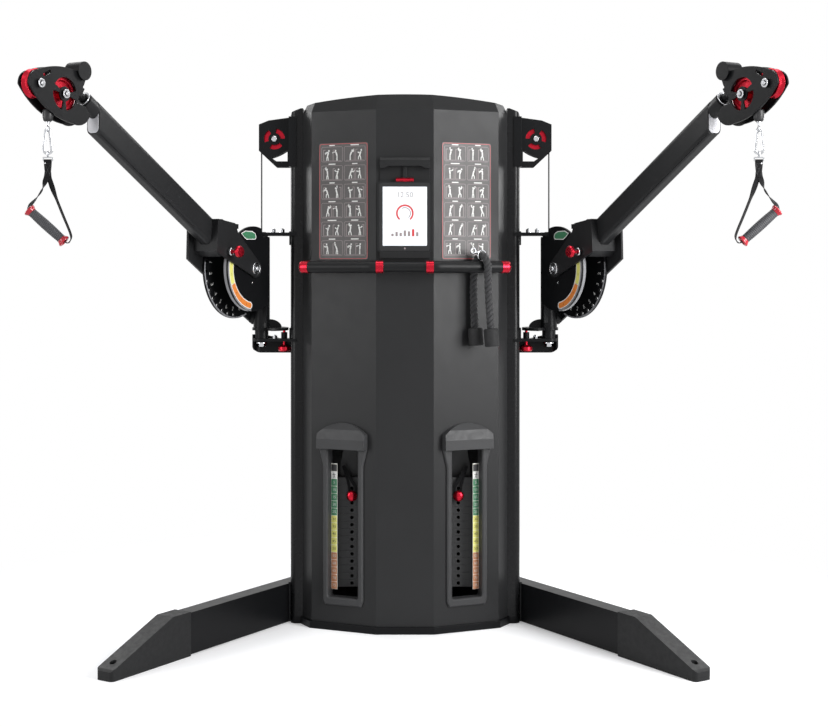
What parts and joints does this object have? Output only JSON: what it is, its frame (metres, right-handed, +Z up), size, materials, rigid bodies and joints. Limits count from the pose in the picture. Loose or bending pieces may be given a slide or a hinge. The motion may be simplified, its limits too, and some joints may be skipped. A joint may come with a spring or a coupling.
{
  "type": "cable crossover machine",
  "caption": "Free-standing gym tower with swivelling lift-and-lock cable arms, pulley heads, strap handles, selectorised weight stacks behind front windows, an accessory bar and splayed legs.",
  "frame": {"origin": "centre of the tower's footprint on the floor", "axes": "+X to the right along the machine's width, +Y to the back, +Z up; the front windows face -Y"},
  "size_m": [2.21, 1.2801, 1.8598],
  "materials": {
    "frame_black": "satin powder coat",
    "shroud_black": "fine satin powder coat",
    "bar_black": "satin",
    "stack_iron": "painted cast plates",
    "rubber_black": "matte",
    "label_print": "printed strip",
    "chart_print": "printed panel",
    "plastic_black": "moulded",
    "red_metal": "red anodised",
    "screen": "glass-faced tablet",
    "chrome": "bright",
    "polished_steel": "ground rod",
    "cable_black": "coated wire rope",
    "rope_black": "twisted cord",
    "strap_web": "woven webbing"
  },
  "bodies": {
    "tower": {"base_plinth": "frame_black", "front_shroud": "shroud_black", "rear_shroud": "shroud_black", "side_columns": "frame_black", "top_cap": "shroud_black", "guide_rods": "polished_steel", "weight_stacks": "stack_iron", "stack_bumpers": "rubber_black", "window_bezels": "frame_black", "weight_labels": "label_print", "exercise_charts": "chart_print", "accessory_bar": "bar_black", "bar_collars": "red_metal", "bar_brackets": "frame_black", "tablet_holder": "plastic_black", "tablet": "screen", "top_pulley_brackets": "frame_black", "chrome_bolts": "chrome", "pivot_brackets": "frame_black", "legs": "frame_black", "foot_covers": "plastic_black", "lift_cables": "cable_black", "triceps_rope": "rope_black", "rope_ends": "rubber_black", "rope_fitting": "chrome"},
    "right_swivel": {"right_swivel_frame": "frame_black", "right_pivot_bolt": "chrome"},
    "right_arm": {"right_arm_tube": "frame_black"},
    "right_arm_lock": {"right_lift_pin": "red_metal"},
    "right_head": {"right_head_frame": "frame_black", "right_head_cable": "cable_black"},
    "right_main_wheel": {"right_main_pulley": "red_metal"},
    "right_guide_wheel": {"right_guide_pulley": "red_metal"},
    "right_lead": {"right_cable_lead": "cable_black"},
    "right_handle": {"right_cable_stop": "plastic_black", "right_carabiner": "chrome", "right_handle_strap": "strap_web", "right_handle_grip": "rubber_black"},
    "right_swivel_lock": {"right_swivel_pin": "red_metal"},
    "right_top_wheel": {"right_top_pulley": "red_metal"},
    "right_stack": {"right_lifted_plates": "stack_iron"},
    "right_selector": {"right_selector_pin": "red_metal"},
    "left_swivel": {"left_swivel_frame": "frame_black", "left_pivot_bolt": "chrome"},
    "left_arm": {"left_arm_tube": "frame_black"},
    "left_arm_lock": {"left_lift_pin": "red_metal"},
    "left_head": {"left_head_frame": "frame_black", "left_head_cable": "cable_black"},
    "left_main_wheel": {"left_main_pulley": "red_metal"},
    "left_guide_wheel": {"left_guide_pulley": "red_metal"},
    "left_lead": {"left_cable_lead": "cable_black"},
    "left_handle": {"left_cable_stop": "plastic_black", "left_carabiner": "chrome", "left_handle_strap": "strap_web", "left_handle_grip": "rubber_black"},
    "left_swivel_lock": {"left_swivel_pin": "red_metal"},
    "left_top_wheel": {"left_top_pulley": "red_metal"},
    "left_stack": {"left_lifted_plates": "stack_iron"},
    "left_selector": {"left_selector_pin": "red_metal"},
    "tablet_slider": {"tablet_clip": "red_metal"}
  },
  "joints": [
    {"name": "right_swivel_turn", "type": "hinge", "parent": "tower", "child": "right_swivel", "pos_m": [0.508, -0.03, 1.19], "axis": [0, 0, 1], "range_deg": [-30, 60]},
    {"name": "right_arm_lift", "type": "hinge", "parent": "right_swivel", "child": "right_arm", "pos_m": [0.5605, -0.12093, 1.243], "axis": [-0.866, -0.5, 0], "range_deg": [-72, 15]},
    {"name": "right_arm_lock_pull", "type": "slide", "parent": "right_arm", "child": "right_arm_lock", "axis": [-0.866, -0.5, 0], "range_m": [0, 0.014]},
    {"name": "right_head_turn", "type": "hinge", "parent": "right_arm", "child": "right_head", "pos_m": [0.55483, -0.11112, 1.26186], "axis": [0.4286, -0.7423, 0.515], "range_deg": [-90, 90]},
    {"name": "right_main_wheel_spin", "type": "hinge", "parent": "right_head", "child": "right_main_wheel", "pos_m": [1.01249, -0.90381, 1.75584], "axis": [0.866, 0.5, 0], "continuous": true},
    {"name": "right_guide_wheel_spin", "type": "hinge", "parent": "right_head", "child": "right_guide_wheel", "pos_m": [1.06299, -0.99128, 1.77684], "axis": [0.866, 0.5, 0], "continuous": true},
    {"name": "right_handle_hang", "type": "hinge", "parent": "right_head", "child": "right_lead", "pos_m": [1.03649, -0.94538, 1.69084], "axis": [-0.866, -0.5, 0], "range_deg": [-15, 72]},
    {"name": "right_handle_pull", "type": "slide", "parent": "right_lead", "child": "right_handle", "axis": [0, 0, -1], "range_m": [0, 0.9]},
    {"name": "right_swivel_lock_push", "type": "slide", "parent": "tower", "child": "right_swivel_lock", "axis": [0, 0, 1], "range_m": [0, 0.012]},
    {"name": "right_top_wheel_spin", "type": "hinge", "parent": "tower", "child": "right_top_wheel", "pos_m": [0.4612, -0.03, 1.701], "axis": [0, 1, 0], "continuous": true},
    {"name": "right_stack_lift", "type": "slide", "parent": "tower", "child": "right_stack", "axis": [0, 0, 1], "range_m": [0, 0.45]},
    {"name": "right_selector_draw", "type": "slide", "parent": "right_stack", "child": "right_selector", "axis": [0, -1, 0], "range_m": [0, 0.045]},
    {"name": "left_swivel_turn", "type": "hinge", "parent": "tower", "child": "left_swivel", "pos_m": [-0.508, -0.03, 1.19], "axis": [0, 0, -1], "range_deg": [-30, 60]},
    {"name": "left_arm_lift", "type": "hinge", "parent": "left_swivel", "child": "left_arm", "pos_m": [-0.5605, -0.12093, 1.243], "axis": [-0.866, 0.5, 0], "range_deg": [-72, 15]},
    {"name": "left_arm_lock_pull", "type": "slide", "parent": "left_arm", "child": "left_arm_lock", "axis": [0.866, -0.5, 0], "range_m": [0, 0.014]},
    {"name": "left_head_turn", "type": "hinge", "parent": "left_arm", "child": "left_head", "pos_m": [-0.55483, -0.11112, 1.26186], "axis": [0.4286, 0.7423, -0.515], "range_deg": [-90, 90]},
    {"name": "left_main_wheel_spin", "type": "hinge", "parent": "left_head", "child": "left_main_wheel", "pos_m": [-1.01249, -0.90381, 1.75584], "axis": [0.866, -0.5, 0], "continuous": true},
    {"name": "left_guide_wheel_spin", "type": "hinge", "parent": "left_head", "child": "left_guide_wheel", "pos_m": [-1.06299, -0.99128, 1.77684], "axis": [0.866, -0.5, 0], "continuous": true},
    {"name": "left_handle_hang", "type": "hinge", "parent": "left_head", "child": "left_lead", "pos_m": [-1.03649, -0.94538, 1.69084], "axis": [-0.866, 0.5, 0], "range_deg": [-15, 72]},
    {"name": "left_handle_pull", "type": "slide", "parent": "left_lead", "child": "left_handle", "axis": [0, 0, -1], "range_m": [0, 0.9]},
    {"name": "left_swivel_lock_push", "type": "slide", "parent": "tower", "child": "left_swivel_lock", "axis": [0, 0, 1], "range_m": [0, 0.012]},
    {"name": "left_top_wheel_spin", "type": "hinge", "parent": "tower", "child": "left_top_wheel", "pos_m": [-0.4612, -0.03, 1.701], "axis": [0, -1, 0], "continuous": true},
    {"name": "left_stack_lift", "type": "slide", "parent": "tower", "child": "left_stack", "axis": [0, 0, 1], "range_m": [0, 0.45]},
    {"name": "left_selector_draw", "type": "slide", "parent": "left_stack", "child": "left_selector", "axis": [0, -1, 0], "range_m": [0, 0.045]},
    {"name": "tablet_clip_slide", "type": "slide", "parent": "tower", "child": "tablet_slider", "axis": [0, 0, 1], "range_m": [0, 0.025], "stiffness_N_per_m": 60}
  ],
  "couplings": [
    {"joint": "right_main_wheel_spin", "follows": "right_stack_lift", "rad_per_m": 41.667},
    {"joint": "right_top_wheel_spin", "follows": "right_stack_lift", "rad_per_m": 43.011},
    {"joint": "right_handle_pull", "follows": "right_stack_lift", "ratio": 2},
    {"joint": "right_handle_hang", "follows": "right_arm_lift", "ratio": -1},
    {"joint": "left_main_wheel_spin", "follows": "left_stack_lift", "rad_per_m": 41.667},
    {"joint": "left_top_wheel_spin", "follows": "left_stack_lift", "rad_per_m": 43.011},
    {"joint": "left_handle_pull", "follows": "left_stack_lift", "ratio": 2},
    {"joint": "left_handle_hang", "follows": "left_arm_lift", "ratio": -1}
  ]
}
